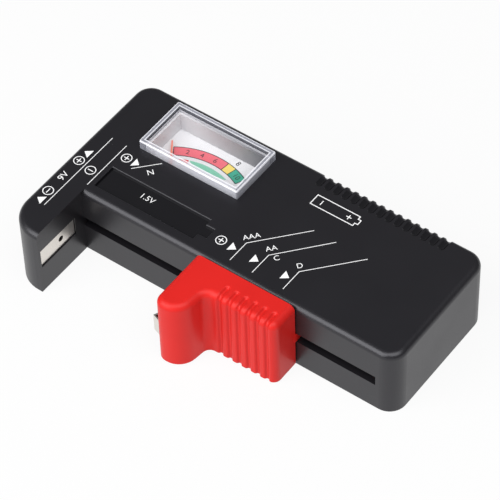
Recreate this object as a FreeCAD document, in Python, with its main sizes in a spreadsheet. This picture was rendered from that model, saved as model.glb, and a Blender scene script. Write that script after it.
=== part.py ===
import FreeCAD, Part
import Sketcher
import math
import os

# Battery tester, in millimetres. X runs along the case, Y towards its back, Z up.
# The origin is the middle of the main case's footprint, on the table.

os.makedirs("parts", exist_ok=True)
doc = FreeCAD.newDocument("battery_tester")
sheet = doc.addObject("Spreadsheet::Sheet", "Sizes")
vector = FreeCAD.Vector


class Size:
    """A number that also carries the spreadsheet formula it comes from."""

    def __init__(self, value, text):
        self.value, self.text = float(value), text

    @staticmethod
    def of(item):
        return item if isinstance(item, Size) else Size(item, "(%r)" % float(item))

    def join(self, other, sign, value):
        return Size(value, "(%s %s %s)" % (self.text, sign, Size.of(other).text))

    def __add__(self, other):
        return self.join(other, "+", self.value + Size.of(other).value)

    def __sub__(self, other):
        return self.join(other, "-", self.value - Size.of(other).value)

    def __mul__(self, other):
        return self.join(other, "*", self.value * Size.of(other).value)

    def __truediv__(self, other):
        return self.join(other, "/", self.value / Size.of(other).value)

    def __radd__(self, other):
        return Size.of(other) + self

    def __rsub__(self, other):
        return Size.of(other) - self

    def __rmul__(self, other):
        return Size.of(other) * self

    def __neg__(self):
        return Size(-self.value, "(0 - %s)" % self.text)

    def __float__(self):
        return self.value


def size(alias, value):
    """Put one driving dimension in the spreadsheet."""
    size.row += 1
    sheet.set("A%d" % size.row, alias)
    sheet.set("B%d" % size.row, str(value))
    sheet.setAlias("B%d" % size.row, alias)
    return Size(value, "Sizes." + alias)


size.row = 0

# Case
case_length = size("case_length", 110.0)
case_width = size("case_width", 42.0)
case_height = size("case_height", 22.4)
arm_reach = size("arm_reach", 19.0)
arm_width = size("arm_width", 10.6)
wall = size("wall", 2.0)
back_wall = size("back_wall", 3.0)
top_thickness = size("top_thickness", 2.0)
corner_radius = size("corner_radius", 5.0)
arm_corner_radius = size("arm_corner_radius", 9.0)
edge_radius = size("edge_radius", 1.8)
cover_thickness = size("cover_thickness", 1.8)
cover_clearance = size("cover_clearance", 0.15)
boss_radius = size("boss_radius", 2.5)
cover_screw_radius = size("cover_screw_radius", 1.0)
cover_screw_head = size("cover_screw_head", 1.9)
# Slot and slider
slot_bottom = size("slot_bottom", 9.0)
slot_height = size("slot_height", 3.2)
slot_end = size("slot_end", 103.9)
slide_clearance = size("slide_clearance", 0.3)
slider_start = size("slider_start", 48.4)
slider_length = size("slider_length", 31.0)
slider_height = size("slider_height", 22.8)
slider_lift = size("slider_lift", 0.4)
nose_reach = size("nose_reach", 19.0)
waist_reach = size("waist_reach", 9.1)
nose_length = size("nose_length", 8.3)
nose_radius = size("nose_radius", 5.6)
slider_edge = size("slider_edge", 1.9)
rib_pitch = size("rib_pitch", 2.94)
rib_groove = size("rib_groove", 1.2)
# Window and dial
window_left = size("window_left", 13.4)
window_length = size("window_length", 32.2)
window_rise = size("window_rise", 2.7)
window_wall = size("window_wall", 1.3)
window_clearance = size("window_clearance", 0.1)
window_flange = size("window_flange", 1.0)
pivot_along = size("pivot_along", 30.3)
pointer_reach = size("pointer_reach", 24.0)
pointer_angle = size("pointer_angle", 124.6)
dial_thickness = size("dial_thickness", 0.5)
# Contacts
strip = size("strip", 0.5)
contact_length = size("contact_length", 14.0)
contact_height = size("contact_height", 5.9)
contact_bottom = size("contact_bottom", 9.2)
terminal_spacing = size("terminal_spacing", 12.7)
terminal_width = size("terminal_width", 6.0)
terminal_height = size("terminal_height", 8.0)
wire_radius = size("wire_radius", 0.55)
doc.recompute()

left = -case_length / 2
right = case_length / 2
front = -case_width / 2
back = case_width / 2
arm_front = front - arm_reach
arm_inner = left + arm_width
ceiling = case_height - top_thickness
window_front = case_width * (21.1 / 42.0)
window_width = case_width * (17.5 / 42.0)
pivot_back = case_width * (11.2 / 42.0)
dial_height = ceiling - 3.7


def origin_plane(body, role):
    return [item for item in body.Origin.OriginFeatures if item.Role == role][0]


def new_body(name):
    return doc.addObject("PartDesign::Body", name)


def new_sketch(body, name, plane, height):
    sketch = body.newObject("Sketcher::SketchObject", body.Name + "_" + name)
    sketch.AttachmentSupport = (origin_plane(body, plane), [""])
    sketch.MapMode = "FlatFace"
    height = Size.of(height)
    sketch.setExpression(".AttachmentOffset.Base.z", (-height if plane == "XZ_Plane" else height).text)
    return sketch


def fix_point(sketch, geometry, end, tag, place):
    """Tie one point of a sketch to its formulas, measured from the sketch's origin."""
    for kind, letter, item in (("DistanceX", "x", place[0]), ("DistanceY", "y", place[1])):
        item = Size.of(item)
        index = sketch.addConstraint(Sketcher.Constraint(kind, -1, 1, geometry, end, item.value))
        sketch.renameConstraint(index, tag + letter)
        sketch.setExpression("Constraints." + tag + letter, item.text)


def outline(body, name, plane, height, *loops):
    """A sketch of closed loops, each a list of (across, up) corners."""
    sketch = new_sketch(body, name, plane, height)
    for loop_number, points in enumerate(loops):
        count, first = len(points), sketch.GeometryCount
        flat = [vector(float(a), float(b), 0) for a, b in points]
        for i in range(count):
            sketch.addGeometry(Part.LineSegment(flat[i], flat[(i + 1) % count]), False)
        for i in range(count):
            sketch.addConstraint(Sketcher.Constraint("Coincident", first + i, 2, first + (i + 1) % count, 1))
        for i in range(count):
            fix_point(sketch, first + i, 1, "l%dp%d" % (loop_number, i), points[i])
    doc.recompute()
    return sketch


def rectangle(x0, y0, x1, y1):
    return [(x0, y0), (x1, y0), (x1, y1), (x0, y1)]


def discs(body, name, plane, height, radius, centres):
    """A sketch of equal circles."""
    sketch = new_sketch(body, name, plane, height)
    radius = Size.of(radius)
    for i, place in enumerate(centres):
        middle = vector(float(place[0]), float(place[1]), 0)
        sketch.addGeometry(Part.Circle(middle, vector(0, 0, 1), radius.value), False)
        fix_point(sketch, i, 3, "c%d" % i, place)
        index = sketch.addConstraint(Sketcher.Constraint("Radius", i, radius.value))
        sketch.renameConstraint(index, "r%d" % i)
        sketch.setExpression("Constraints.r%d" % i, radius.text)
    doc.recompute()
    return sketch


def extrude(kind, sketch, length, flip=False, middle=False):
    """Pad or pocket a sketch, and stop if nothing changes."""
    body = sketch.getParentGeoFeatureGroup()
    before = body.Shape.Volume if body.Tip else 0.0
    feature = body.newObject("PartDesign::" + kind, sketch.Name + "_" + kind)
    feature.Profile = sketch
    feature.Reversed, feature.Midplane = flip, middle
    feature.setExpression("Length", Size.of(length).text)
    doc.recompute()
    if abs(feature.Shape.Volume - before) < 1e-3:
        raise ValueError("no change from " + feature.Name)
    return feature


def pad(sketch, length, flip=False, middle=False):
    return extrude("Pad", sketch, length, flip, middle)


def pocket(sketch, length, flip=False, middle=False):
    return extrude("Pocket", sketch, length, flip, middle)


def round_edges(feature, name, radius, wanted):
    """Fillet the edges of a feature whose middle point and box pass a test."""
    picked = []
    for number, edge in enumerate(feature.Shape.Edges):
        middle = edge.valueAt((edge.FirstParameter + edge.LastParameter) / 2)
        if wanted(middle, edge.BoundBox):
            picked.append("Edge%d" % (number + 1))
    body = feature.getParentGeoFeatureGroup()
    fillet = body.newObject("PartDesign::Fillet", body.Name + "_" + name)
    fillet.Base = (feature, picked)
    fillet.setExpression("Radius", Size.of(radius).text)
    doc.recompute()
    if not picked or not fillet.Shape.isValid():
        raise ValueError("fillet failed: " + fillet.Name)
    return fillet


def near(a, b):
    return abs(float(a) - float(b)) < 1e-4


def upright(box):
    return box.XLength < 1e-6 and box.YLength < 1e-6


def place(item, x, y, z):
    for letter, value in zip("xyz", (x, y, z)):
        item.setExpression(".Placement.Base." + letter, Size.of(value).text)
    return item

def round_channels(body, tag, radius, rise, x, bend_y, bend_z, bend, reach, floor, pitch, count, towards):
    """A row of round channels over a rounded edge: a run on top, a bend round the edge, a fall and a round tip.

    bend_y and bend_z are the edge curve's centre and bend its radius; towards is +1 for a face at +Y, -1 for -Y.
    """
    top = bend_z + bend + rise
    tip_y = bend_y - towards * reach
    ring = new_sketch(body, tag + "_ring", "XZ_Plane", bend_y)
    ring.setExpression(".AttachmentOffset.Base.y", bend_z.text)
    ring.addGeometry(Part.Circle(vector(float(x), float(bend + rise), 0), vector(0, 0, 1), float(radius)), False)
    fix_point(ring, 0, 3, "c", (x, bend + rise))
    ring.renameConstraint(ring.addConstraint(Sketcher.Constraint("Radius", 0, float(radius))), "r")
    ring.setExpression("Constraints.r", radius.text)
    doc.recompute()
    curve = body.newObject("PartDesign::Groove", tag + "_bend")
    curve.Profile = ring
    curve.ReferenceAxis = (ring, ["H_Axis"])
    curve.Angle = 90.0
    curve.Reversed = towards > 0
    doc.recompute()
    fall = pocket(discs(body, tag + "_fall", "XY_Plane", bend_z, radius, [(x, bend_y + (bend + rise) * towards)]),
                  bend_z - floor)
    run = pocket(discs(body, tag + "_run", "XZ_Plane", tip_y if towards > 0 else bend_y, radius, [(x, top)]), reach)
    tip = body.newObject("PartDesign::SubtractiveSphere", tag + "_tip")
    tip.setExpression("Radius", radius.text)
    place(tip, x, tip_y, top)
    doc.recompute()
    row = body.newObject("PartDesign::LinearPattern", tag + "_row")
    row.Originals = [curve, fall, run, tip]
    row.Direction = (origin_plane(body, "X_Axis"), [""])
    row.setExpression("Length", (pitch * (count - 1)).text)
    row.Occurrences = count
    body.Tip = row
    doc.recompute()
    return row


def block(name, x0, y0, z0, x1, y1, z1):
    box = doc.addObject("Part::Box", name)
    for prop, low, high in (("Length", x0, x1), ("Width", y0, y1), ("Height", z0, z1)):
        box.setExpression(prop, (Size.of(high) - low).text)
    return place(box, x0, y0, z0)


def rod(name, x, y, z, radius, length, axis="z"):
    cylinder = doc.addObject("Part::Cylinder", name)
    cylinder.setExpression("Radius", Size.of(radius).text)
    cylinder.setExpression("Height", Size.of(length).text)
    if axis == "y":
        cylinder.Placement.Rotation = FreeCAD.Rotation(vector(1, 0, 0), -90)
    if axis == "x":
        cylinder.Placement.Rotation = FreeCAD.Rotation(vector(0, 1, 0), 90)
    return place(cylinder, x, y, z)


def cone(name, x, y, z, radius_low, radius_high, length):
    item = doc.addObject("Part::Cone", name)
    item.setExpression("Radius1", Size.of(radius_low).text)
    item.setExpression("Radius2", Size.of(radius_high).text)
    item.setExpression("Height", Size.of(length).text)
    return place(item, x, y, z)


def fuse(name, *items):
    union = doc.addObject("Part::MultiFuse", name)
    union.Shapes = list(items)
    union.Refine = True
    doc.recompute()
    return union


def cut(name, base, *tools):
    tool = tools[0] if len(tools) == 1 else fuse(name + "_tools", *tools)
    result = doc.addObject("Part::Cut", name)
    result.Base, result.Tool = base, tool
    doc.recompute()
    return result


def group(name, *items):
    compound = doc.addObject("Part::Compound", name)
    compound.Links = list(items)
    doc.recompute()
    return compound


nodes = {}

# Upper case: an L-shaped box with a forward arm at its left end
case = new_body("upper_case_body")
shell = pad(outline(case, "plan", "XY_Plane", 0, [
    (left, back), (left, arm_front), (arm_inner, arm_front), (arm_inner, front), (right, front), (right, back)]),
    case_height)
shell = round_edges(shell, "corners", corner_radius, lambda m, b: upright(b) and (
    near(m.y, back) or (near(m.x, right) and near(m.y, front))))
shell = round_edges(shell, "arm_corner", arm_corner_radius, lambda m, b: upright(b) and near(m.x, left)
                    and near(m.y, arm_front))
shell = round_edges(shell, "top_edge", edge_radius, lambda m, b: near(m.z, case_height) and b.ZLength < 1e-6
                    and not (near(m.x, arm_inner) and b.XLength < 1e-6))
hollow_left, hollow_right = left + wall, right - wall
hollow_front, hollow_back = front + wall, back - back_wall
hollow_arm_front, hollow_arm_inner = arm_front + wall, arm_inner - wall
hollow = [(hollow_left, hollow_back), (hollow_left, hollow_arm_front + arm_corner_radius - wall),
          (hollow_left + (arm_corner_radius - wall) * 0.3, hollow_arm_front + (arm_corner_radius - wall) * 0.3),
          (hollow_arm_inner, hollow_arm_front), (hollow_arm_inner, hollow_front),
          (hollow_right, hollow_front), (hollow_right, hollow_back)]
shell = pocket(outline(case, "hollow", "XY_Plane", 0, hollow), ceiling, flip=True)
inner_radius = corner_radius - back_wall
shell = round_edges(shell, "inner_corners", inner_radius, lambda m, b: upright(b) and (
    (near(m.y, hollow_back) and (near(m.x, hollow_left) or near(m.x, hollow_right)))
    or (near(m.y, hollow_front) and near(m.x, hollow_right))))

boss_places = [(left + 5.8, front - 12.0), (left + 5.2, back - 6.8), (right - 5.6, back - 6.8),
               (right - 5.6, front + case_width / 3)]
boss_clearance = Size.of(0.05)
boss_base = cover_thickness + boss_clearance
shell = pad(discs(case, "bosses", "XY_Plane", boss_base, boss_radius, boss_places), ceiling - boss_base + 0.2)
pilot_radius = cover_screw_radius + 0.02
pilot_depth = Size.of(8.0)
shell = pocket(discs(case, "pilots", "XY_Plane", boss_base, pilot_radius, boss_places), pilot_depth, flip=True)

# Slot for the slider, along the front wall
shell = pocket(outline(case, "slot", "XZ_Plane", front, rectangle(
    arm_inner, slot_bottom, left + slot_end, slot_bottom + slot_height)), wall)

# Window opening and the battery-shaped recess in the top
window_x0, window_x1 = left + window_left, left + window_left + window_length
window_y0, window_y1 = front + window_front, front + window_front + window_width
shell = pocket(outline(case, "window", "XY_Plane", case_height, rectangle(
    window_x0 - window_clearance, window_y0 - window_clearance,
    window_x1 + window_clearance, window_y1 + window_clearance)), top_thickness)
recess_depth = Size.of(0.8)
shell = pocket(outline(case, "recess", "XY_Plane", case_height, [
    (left + 11.9, front + 3.8), (left + 44.2, front + 3.8), (left + 44.2, front + 5.9), (left + 47.0, front + 5.9),
    (left + 47.0, front + 9.4), (left + 44.2, front + 9.4), (left + 44.2, front + 11.5),
    (left + 11.9, front + 11.5)]), recess_depth)
shell = round_edges(shell, "recess_lip", 0.3, lambda m, b: near(m.z, case_height) and b.ZLength < 1e-6
                    and float(left + 11.8) < m.x < float(left + 47.1)
                    and float(front + 3.7) < m.y < float(front + 11.6))

# Openings for the metal contacts: the arm's inner face and the left end
contact_y0 = front - 3.9 - contact_length
contact_y1 = front - 3.9
contact_z1 = contact_bottom + contact_height
contact_gap = Size.of(0.2)
shell = pocket(outline(case, "contact_seat", "YZ_Plane", arm_inner, rectangle(
    contact_y0 - contact_gap, contact_bottom - contact_gap, contact_y1 + contact_gap, contact_z1 + contact_gap)), wall)
terminal_y = [front - 4.6, front - 4.6 + terminal_spacing]
terminal_z = case_height / 2 + 0.4
terminal_seats = [rectangle(y - terminal_width / 2 - contact_gap, terminal_z - terminal_height / 2 - contact_gap,
                            y + terminal_width / 2 + contact_gap, terminal_z + terminal_height / 2 + contact_gap)
                  for y in terminal_y]
shell = pocket(outline(case, "terminal_seats", "YZ_Plane", left, *terminal_seats), wall, flip=True)

# Finger grooves over the back top edge: shallow round channels that follow the edge's own curve
groove_radius = Size.of(1.3)
groove_rise = Size.of(0.8)
groove_reach = Size.of(5.3)
groove_pitch = Size.of(2.74)
round_channels(case, "groove", groove_radius, groove_rise, left + 59.9, back - edge_radius,
               case_height - edge_radius, edge_radius, groove_reach - edge_radius - groove_radius, Size.of(3.5),
               groove_pitch, 15, 1)
nodes["upper_case"] = case

# Bottom cover, let in flush between the walls
gap = cover_clearance
cover_arm = arm_corner_radius - wall
cover = new_body("bottom_cover_body")
sheet_pad = pad(outline(cover, "plan", "XY_Plane", 0, [
    (hollow_left + gap, hollow_back - gap), (hollow_left + gap, hollow_arm_front + cover_arm + gap),
    (hollow_left + cover_arm * 0.3 + gap, hollow_arm_front + cover_arm * 0.3 + gap),
    (hollow_arm_inner - gap, hollow_arm_front + gap), (hollow_arm_inner - gap, hollow_front + gap),
    (hollow_right - gap, hollow_front + gap), (hollow_right - gap, hollow_back - gap)]), cover_thickness)
sheet_pad = round_edges(sheet_pad, "corners", inner_radius, lambda m, b: upright(b) and (
    (near(m.y, hollow_back - gap) and (near(m.x, hollow_left + gap) or near(m.x, hollow_right - gap)))
    or (near(m.y, hollow_front + gap) and near(m.x, hollow_right - gap))))
pocket(discs(cover, "holes", "XY_Plane", 0, cover_screw_radius + 0.2, boss_places), cover_thickness, flip=True)
head_depth = Size.of(1.0)
pocket(discs(cover, "head_seats", "XY_Plane", 0, cover_screw_head + 0.2, boss_places), head_depth, flip=True)
nodes["bottom_cover"] = cover

cover_screws = []
for number, (x, y) in enumerate(boss_places):
    tag = "cover_screw_%d" % number
    screw = fuse(tag + "_blank", rod(tag + "_head", x, y, 0.1, cover_screw_head, head_depth - 0.1),
                 rod(tag + "_shank", x, y, head_depth - 0.2, cover_screw_radius, 7.6))
    half, reach = Size.of(0.22), Size.of(1.2)
    cover_screws.append(cut(tag, screw, fuse(
        tag + "_cross", block(tag + "_bar_x", x - reach, y - half, 0, x + reach, y + half, 0.6),
        block(tag + "_bar_y", x - half, y - reach, 0, x + half, y + reach, 0.6))))
nodes["cover_screws"] = group("cover_screws_group", *cover_screws)

# Fixed contact in the arm: a bent strip seated behind its opening
contact_face = arm_inner - 0.4
contact = new_body("negative_contact_body")
leg_back = arm_inner - wall - 1.6
pad(outline(contact, "bend", "XY_Plane", contact_bottom, [
    (contact_face, contact_y0), (contact_face, contact_y1), (leg_back - strip, contact_y1),
    (leg_back - strip, contact_y1 - 4.0), (leg_back, contact_y1 - 4.0), (leg_back, contact_y1 - strip),
    (contact_face - strip, contact_y1 - strip), (contact_face - strip, contact_y0 + strip),
    (arm_inner - wall + 0.05, contact_y0 + strip), (arm_inner - wall + 0.05, contact_y0)]), contact_height)
pocket(discs(contact, "hole", "YZ_Plane", contact_face, 0.9,
             [(contact_y0 + 8.5, contact_bottom + contact_height / 2)]), strip)
nodes["negative_contact"] = contact

# Two end terminals for the square battery
for name, y in zip(("end_terminal_negative", "end_terminal_positive"), terminal_y):
    terminal = new_body(name + "_body")
    face, inside = left + 0.3, left + wall + 1.2
    low, high = y - terminal_width / 2, y + terminal_width / 2
    pad(outline(terminal, "bend", "XY_Plane", terminal_z - terminal_height / 2, [
        (face, low), (face, high), (inside + strip, high), (inside + strip, high - 2.2), (inside, high - 2.2),
        (inside, high - strip), (face + strip, high - strip), (face + strip, low + strip), (inside, low + strip),
        (inside, low + 2.2), (inside + strip, low + 2.2), (inside + strip, low)]), terminal_height)
    pocket(discs(terminal, "dimple", "YZ_Plane", face, 1.0, [(y, terminal_z)]), strip, flip=True)
    nodes[name] = terminal

# Slider grip: a nose, a waist and finger ribs, with a tongue through the slot
slider_x0 = left + slider_start
slider_x1 = slider_x0 + slider_length
slider_back = front - slide_clearance
nose_y, waist_y = front - nose_reach, front - waist_reach
slider_top = slider_lift + slider_height
grip = new_body("slider_grip_body")
form = pad(outline(grip, "plan", "XY_Plane", slider_lift, [
    (slider_x0, slider_back), (slider_x0, nose_y), (slider_x0 + nose_length, nose_y),
    (slider_x0 + nose_length + 1.3, waist_y), (slider_x1, waist_y), (slider_x1, slider_back)]), slider_height)
form = round_edges(form, "nose", nose_radius, lambda m, b: upright(b) and near(m.y, nose_y)
                   and near(m.x, slider_x0 + nose_length))
form = round_edges(form, "waist", 2.4, lambda m, b: upright(b) and near(m.y, waist_y)
                   and near(m.x, slider_x0 + nose_length + 1.3))
form = round_edges(form, "nose_corner", 3.0, lambda m, b: upright(b) and near(m.y, nose_y)
                   and near(m.x, slider_x0))
form = round_edges(form, "rib_corner", 2.2, lambda m, b: upright(b) and near(m.y, waist_y)
                   and near(m.x, slider_x1))
form = round_edges(form, "top_edge", slider_edge, lambda m, b: near(m.z, slider_top) and b.ZLength < 1e-6
                   and not near(m.y, slider_back))
# Finger ribs between narrow round channels, their rims rounded over
rib_radius = rib_groove / 2
rib_reach = Size.of(2.0)
rib_x = slider_x0 + 13.5
rib_count = 6
row = round_channels(grip, "rib", rib_radius, Size.of(0.0), rib_x, waist_y + slider_edge, slider_top - slider_edge,
                     slider_edge, rib_reach, slider_lift - 1.0, rib_pitch, rib_count, -1)


def on_rib_rim(m, b):
    """True for an edge along the mouth of a rib channel."""
    offset = (m.x - float(rib_x) + float(rib_pitch) / 2) % float(rib_pitch) - float(rib_pitch) / 2
    beside = b.XLength < 1e-6 and abs(abs(offset) - float(rib_radius)) < 1e-3
    round_tip = b.ZLength < 1e-6 and near(m.z, slider_top) and 0.1 < b.XLength < float(rib_groove) + 0.01
    return m.z > float(slider_lift) + 0.1 and (beside or round_tip)


form = round_edges(row, "rib_rims", 0.7, on_rib_rim)
tongue_x0, tongue_x1 = slider_x0 + 4.0, slider_x1 + 0.2
tongue_z0, tongue_z1 = slot_bottom + slide_clearance, slot_bottom + slot_height - slide_clearance
tongue_back = front + wall + slide_clearance
tongue_root = Size.of(0.5)
pad(outline(grip, "tongue", "XZ_Plane", slider_back - tongue_root, rectangle(
    tongue_x0, tongue_z0, tongue_x1, tongue_z1)), tongue_back - slider_back + tongue_root, flip=True)
# Seat for the bent contact in the slider's left face
bow_y0, bow_y1 = front - 17.0, front - 8.0
bow_z0 = contact_bottom - 2.8
bow_z1 = bow_z0 + contact_height
bow_thickness = Size.of(0.4)
seat_gap = Size.of(0.2)
seat_depth = Size.of(3.0)
pocket(outline(grip, "contact_seat", "YZ_Plane", slider_x0, rectangle(
    bow_y0 - seat_gap, bow_z0 - seat_gap, bow_y1 + seat_gap, bow_z1 + seat_gap)), seat_depth, flip=True)
screw_x = [slider_x0 + 9.0, slider_x1 - 7.0]
tongue_mid = (tongue_z0 + tongue_z1) / 2
slider_screw_radius = Size.of(0.8)
pocket(discs(grip, "screw_holes", "XZ_Plane", tongue_back, slider_screw_radius + 0.02,
             [(x, tongue_mid) for x in screw_x]), 6.5, flip=True)
nodes["slider_grip"] = grip

# Retainer behind the front wall, its screws, and the wiper it holds against the rail
retainer_thickness = Size.of(1.2)
retainer_x0, retainer_x1 = slider_x0 + 6.0, slider_x1 - 4.0
retainer_back = tongue_back + retainer_thickness
retainer = new_body("slider_retainer_body")
pad(outline(retainer, "plan", "XZ_Plane", tongue_back, rectangle(
    retainer_x0, slot_bottom - 3.0, retainer_x1, slot_bottom + slot_height + 3.0)), retainer_thickness, flip=True)
pocket(discs(retainer, "holes", "XZ_Plane", tongue_back, slider_screw_radius + 0.15,
             [(x, tongue_mid) for x in screw_x]), retainer_thickness, flip=False)
nodes["slider_retainer"] = retainer
wiper_thickness = Size.of(0.3)
wiper_back = retainer_back + wiper_thickness
wiper_top = slot_bottom + slot_height + 2.8
wiper = new_body("slider_wiper_body")
pad(outline(wiper, "plan", "XZ_Plane", retainer_back, rectangle(
    screw_x[0] - 2.2, tongue_mid - 2.0, screw_x[1] + 2.2, wiper_top)), wiper_thickness, flip=True)
pocket(discs(wiper, "holes", "XZ_Plane", retainer_back, slider_screw_radius + 0.15,
             [(x, tongue_mid) for x in screw_x]), wiper_thickness, flip=False)
nodes["slider_wiper"] = wiper

slider_screws = []
for number, x in enumerate(screw_x):
    tag = "slider_screw_%d" % number
    shank = rod(tag + "_shank", x, wiper_back - 7.0, tongue_mid, slider_screw_radius, 7.0, "y")
    head = rod(tag + "_head", x, wiper_back, tongue_mid, 1.4, 0.9, "y")
    slot = block(tag + "_slot", x - 1.6, wiper_back + 0.5, tongue_mid - 0.2, x + 1.6, wiper_back + 1.2, tongue_mid + 0.2)
    slider_screws.append(cut(tag, fuse(tag + "_blank", shank, head), slot))
nodes["slider_screws"] = group("slider_screws_group", *slider_screws)

# Bent spring contact in the slider's left face
bow_out, bow_tip = slider_x0 - 2.5, bow_y0 + 1.0
bow_floor = slider_x0 + seat_depth
bow = new_body("slider_contact_body")
pad(outline(bow, "bend", "XY_Plane", bow_z0, [
    (bow_floor, bow_y0), (slider_x0 + 0.4, bow_y0), (bow_out, bow_tip), (slider_x0 + 1.4, bow_y1), (bow_floor, bow_y1),
    (bow_floor, bow_y1 - bow_thickness), (slider_x0 + 1.4 + bow_thickness, bow_y1 - bow_thickness),
    (bow_out + bow_thickness * 1.5, bow_tip + 0.1), (slider_x0 + 0.4 + bow_thickness * 0.4, bow_y0 + bow_thickness),
    (bow_floor, bow_y0 + bow_thickness)]), bow_z1 - bow_z0)
nodes["slider_contact"] = bow

# Contact rail behind the slot, riveted to two posts under the top
wiper_clearance = Size.of(0.15)
rail_front = wiper_back + wiper_clearance
rail_back = rail_front + strip
rail_x0, rail_x1 = left + 11.0, right - 7.0
rail_z0, rail_z1 = tongue_mid + 2.3, wiper_top
post_x = [rail_x0 + 2.0, rail_x1 - 2.0]
pad(outline(case, "rail_posts", "XY_Plane", rail_z0 - 1.0, *[rectangle(
    x - 1.2, rail_back, x + 1.2, rail_back + 2.0) for x in post_x]), ceiling - rail_z0 + 1.0 + 0.2)
rivet_radius = Size.of(0.6)
rail_mid = (rail_z0 + rail_z1) / 2
pocket(discs(case, "rivet_holes", "XZ_Plane", rail_back, rivet_radius + 0.02,
             [(x, rail_mid) for x in post_x]), 2.0, flip=False)
rail = new_body("contact_rail_body")
pad(outline(rail, "plan", "XZ_Plane", rail_front, rectangle(rail_x0, rail_z0, rail_x1, rail_z1)), strip, flip=True)
pocket(discs(rail, "holes", "XZ_Plane", rail_front, rivet_radius + 0.02, [(x, rail_mid) for x in post_x]),
       strip, flip=False)
nodes["contact_rail"] = rail
rivets = []
for number, x in enumerate(post_x):
    tag = "rail_rivet_%d" % number
    rivets.append(fuse(tag, rod(tag + "_head", x, rail_front - 0.3, rail_mid, 0.95, 0.3, "y"),
                       rod(tag + "_shank", x, rail_front - 0.1, rail_mid, rivet_radius, 2.4, "y")))
nodes["rail_rivets"] = group("rail_rivets_group", *rivets)

# Clear window: a low box that stands above the top, with a flange under it
window = new_body("meter_window_body")
flange_z0, flange_z1 = ceiling - window_flange, ceiling - 0.05
flange_out = Size.of(1.6)
pane = pad(outline(window, "plan", "XY_Plane", flange_z0, rectangle(window_x0, window_y0, window_x1, window_y1)),
           case_height + window_rise - flange_z0)
pane = round_edges(pane, "corners", 0.5, lambda m, b: upright(b))
pane = round_edges(pane, "top_edge", 0.35, lambda m, b: near(m.z, case_height + window_rise) and b.ZLength < 1e-6)
pane = pad(outline(window, "flange", "XY_Plane", flange_z0, rectangle(
    window_x0 - flange_out, window_y0 - flange_out, window_x1 + flange_out, hollow_back - 0.1)), flange_z1 - flange_z0)
pocket(outline(window, "hollow", "XY_Plane", flange_z0, rectangle(
    window_x0 + window_wall, window_y0 + window_wall, window_x1 - window_wall, window_y1 - window_wall)),
    case_height + window_rise - window_wall - flange_z0, flip=True)
nodes["meter_window"] = window

# Pale liner inside the window, standing on the dial on three sides
liner_gap, liner_wall = Size.of(0.1), Size.of(0.6)
liner_x0, liner_x1 = window_x0 + window_wall + liner_gap, window_x1 - window_wall - liner_gap
liner_y0, liner_y1 = window_y0 + window_wall + 0.6, window_y1 - window_wall - liner_gap
liner_z0, liner_z1 = dial_height + dial_thickness + 0.05, case_height + 0.6
liner = new_body("dial_liner_body")
pad(outline(liner, "plan", "XY_Plane", liner_z0, [
    (liner_x0, liner_y0), (liner_x0 + liner_wall, liner_y0), (liner_x0 + liner_wall, liner_y1 - liner_wall),
    (liner_x1 - liner_wall, liner_y1 - liner_wall), (liner_x1 - liner_wall, liner_y0), (liner_x1, liner_y0),
    (liner_x1, liner_y1), (liner_x0, liner_y1)]), liner_z1 - liner_z0)
nodes["dial_liner"] = liner

# Meter frame on the bottom cover, with posts for the dial and the bearing bridge
pivot_x, pivot_y = left + pivot_along, front + pivot_back
frame_z0, frame_z1 = cover_thickness + 0.05, cover_thickness + 1.7
dial_x0, dial_x1 = window_x0 + 1.1, window_x1 - 1.1
dial_y0, dial_y1 = window_y0 - 3.5, window_y1 - 0.2
dial_posts = [(dial_x0 + 2.2, dial_y0 + 1.6), (dial_x1 - 2.2, dial_y0 + 1.6),
              (dial_x0 + 2.2, dial_y1 - 1.6), (dial_x1 - 2.2, dial_y1 - 1.6)]
bridge_z0, bridge_z1 = ceiling - 1.5, ceiling - 0.7
yoke_outer = pivot_y - rail_back - 0.95
yoke_inner = yoke_outer - 0.6
bridge_span = yoke_outer + 2.2
yoke_z0, yoke_z1 = frame_z1 + 2.5, frame_z1 + (bridge_z0 - frame_z1) * 0.617
bridge_posts = [(pivot_x - bridge_span, pivot_y), (pivot_x + bridge_span, pivot_y)]
holder = new_body("meter_frame_body")
pad(outline(holder, "plan", "XY_Plane", frame_z0, rectangle(
    dial_x0 + 0.5, pivot_y - 6.0, dial_x1 - 0.5, dial_y1)), frame_z1 - frame_z0)
pad(discs(holder, "dial_posts", "XY_Plane", frame_z1 - 0.2, 1.3, dial_posts), dial_height - frame_z1 + 0.2)
pad(discs(holder, "bridge_posts", "XY_Plane", frame_z1 - 0.2, 1.3, bridge_posts), bridge_z0 - frame_z1 + 0.2)
pad(discs(holder, "yoke_wall", "XY_Plane", frame_z1 - 0.2, yoke_outer, [(pivot_x, pivot_y)]), yoke_z0 - frame_z1 + 0.2)
pocket(discs(holder, "yoke_well", "XY_Plane", yoke_z0, yoke_inner, [(pivot_x, pivot_y)]), yoke_z0 - frame_z1)
small_screw = Size.of(0.6)
pocket(discs(holder, "dial_pilots", "XY_Plane", dial_height, small_screw + 0.02, dial_posts[:2]), 4.0)
pocket(discs(holder, "bridge_pilots", "XY_Plane", bridge_z0, small_screw + 0.02, bridge_posts), 4.0)
nodes["meter_frame"] = holder

# Dial plate and its screws
dial = new_body("dial_plate_body")
pad(outline(dial, "plan", "XY_Plane", dial_height, rectangle(dial_x0, dial_y0, dial_x1, dial_y1)), dial_thickness)
pocket(discs(dial, "holes", "XY_Plane", dial_height + dial_thickness, small_screw + 0.15, dial_posts[:2]),
       dial_thickness)
nodes["dial_plate"] = dial


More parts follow.
